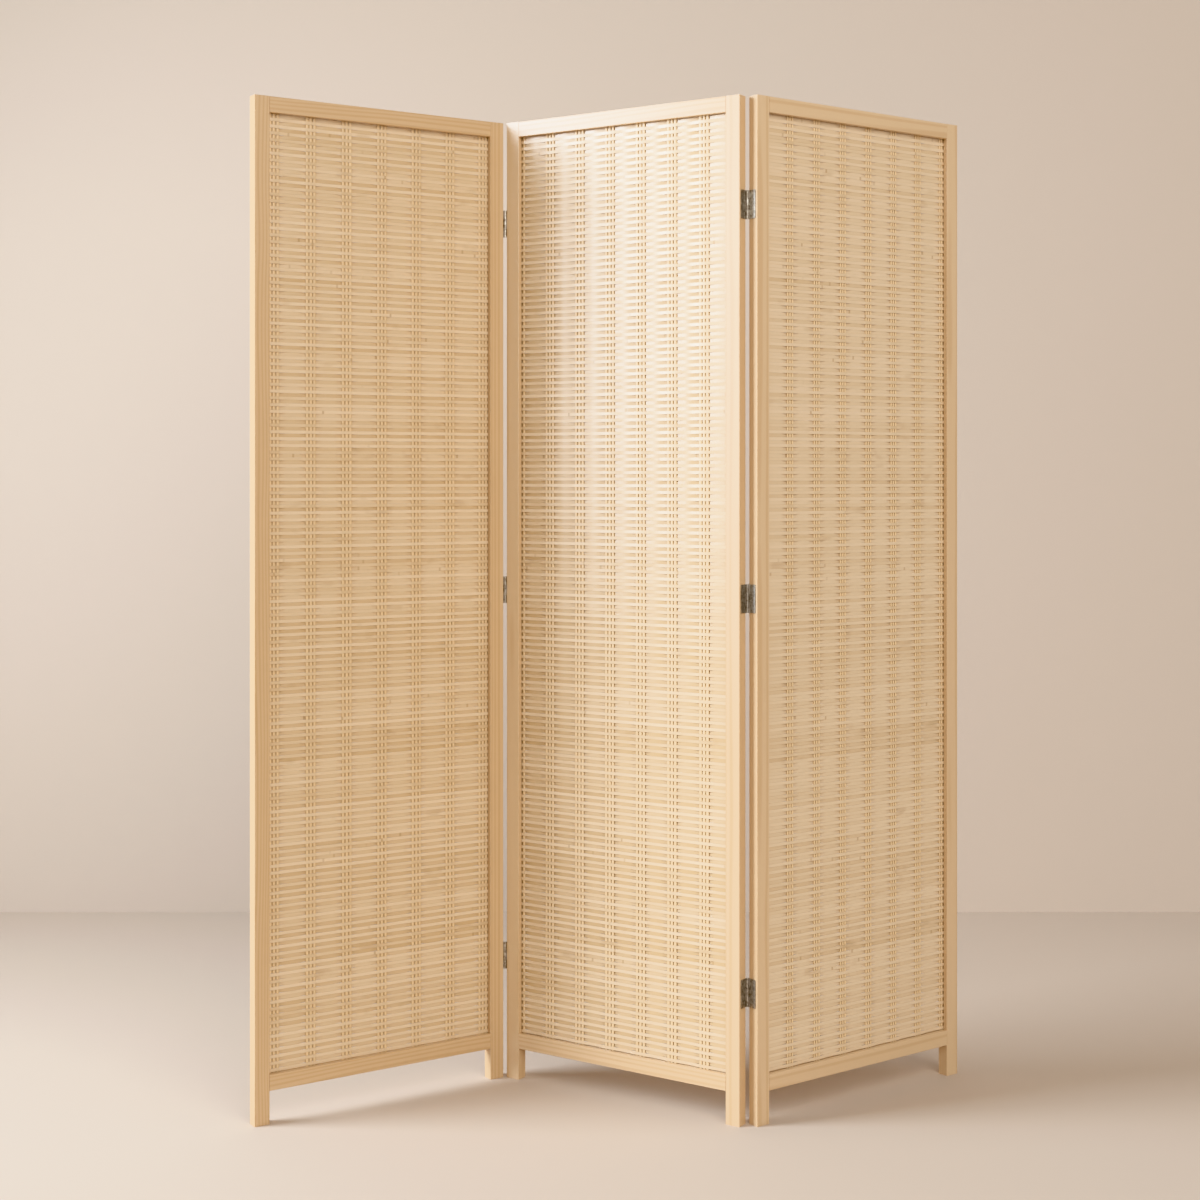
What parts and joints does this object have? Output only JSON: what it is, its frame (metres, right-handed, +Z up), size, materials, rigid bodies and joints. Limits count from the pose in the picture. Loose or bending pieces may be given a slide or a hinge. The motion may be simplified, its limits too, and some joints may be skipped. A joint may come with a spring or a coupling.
{
  "type": "bamboo folding screen",
  "caption": "Free-standing folding screen of pine-framed panels filled with woven bamboo, joined by butt hinges so that it stands in a zigzag or folds flat.",
  "frame": {"origin": "middle of the zigzag's bounding box, on the floor", "axes": "+Z up; the pictured front faces -Y; +X to the right seen from the front"},
  "size_m": [1.2914, 0.3118, 1.8],
  "materials": {
    "pine": "clear satin, pale",
    "bamboo_strip": "natural, satin",
    "bamboo_rod": "natural, satin",
    "dowel_wood": "bare",
    "hinge_steel": "dull, aged plating",
    "screw_steel": "dull, aged plating"
  },
  "bodies": {
    "left_panel": {"left_hinge_bottom_swing_leaf": "hinge_steel", "left_hinge_middle_swing_leaf": "hinge_steel", "left_hinge_swing_leaf_screws": "screw_steel", "left_hinge_top_swing_leaf": "hinge_steel", "left_panel_back_strips": "bamboo_strip", "left_panel_bottom_rail": "pine", "left_panel_dowels": "dowel_wood", "left_panel_front_strips": "bamboo_strip", "left_panel_left_stile": "pine", "left_panel_right_stile": "pine", "left_panel_rods": "bamboo_rod", "left_panel_top_rail": "pine"},
    "middle_panel": {"left_hinge_bottom_pin": "hinge_steel", "left_hinge_bottom_pin_leaf": "hinge_steel", "left_hinge_middle_pin": "hinge_steel", "left_hinge_middle_pin_leaf": "hinge_steel", "left_hinge_pin_leaf_screws": "screw_steel", "left_hinge_top_pin": "hinge_steel", "left_hinge_top_pin_leaf": "hinge_steel", "middle_panel_back_strips": "bamboo_strip", "middle_panel_bottom_rail": "pine", "middle_panel_dowels": "dowel_wood", "middle_panel_front_strips": "bamboo_strip", "middle_panel_left_stile": "pine", "middle_panel_right_stile": "pine", "middle_panel_rods": "bamboo_rod", "middle_panel_top_rail": "pine", "right_hinge_bottom_pin": "hinge_steel", "right_hinge_bottom_pin_leaf": "hinge_steel", "right_hinge_middle_pin": "hinge_steel", "right_hinge_middle_pin_leaf": "hinge_steel", "right_hinge_pin_leaf_screws": "screw_steel", "right_hinge_top_pin": "hinge_steel", "right_hinge_top_pin_leaf": "hinge_steel"},
    "right_panel": {"right_hinge_bottom_swing_leaf": "hinge_steel", "right_hinge_middle_swing_leaf": "hinge_steel", "right_hinge_swing_leaf_screws": "screw_steel", "right_hinge_top_swing_leaf": "hinge_steel", "right_panel_back_strips": "bamboo_strip", "right_panel_bottom_rail": "pine", "right_panel_dowels": "dowel_wood", "right_panel_front_strips": "bamboo_strip", "right_panel_left_stile": "pine", "right_panel_right_stile": "pine", "right_panel_rods": "bamboo_rod", "right_panel_top_rail": "pine"}
  },
  "joints": [
    {"name": "left_fold", "type": "hinge", "parent": "middle_panel", "child": "left_panel", "pos_m": [-0.21174, 0.11688, 0.92], "axis": [0, 0, 1], "range_deg": [-66, 114]},
    {"name": "right_fold", "type": "hinge", "parent": "middle_panel", "child": "right_panel", "pos_m": [0.2257, -0.13858, 0.92], "axis": [0, 0, 1], "range_deg": [-69, 111]}
  ]
}
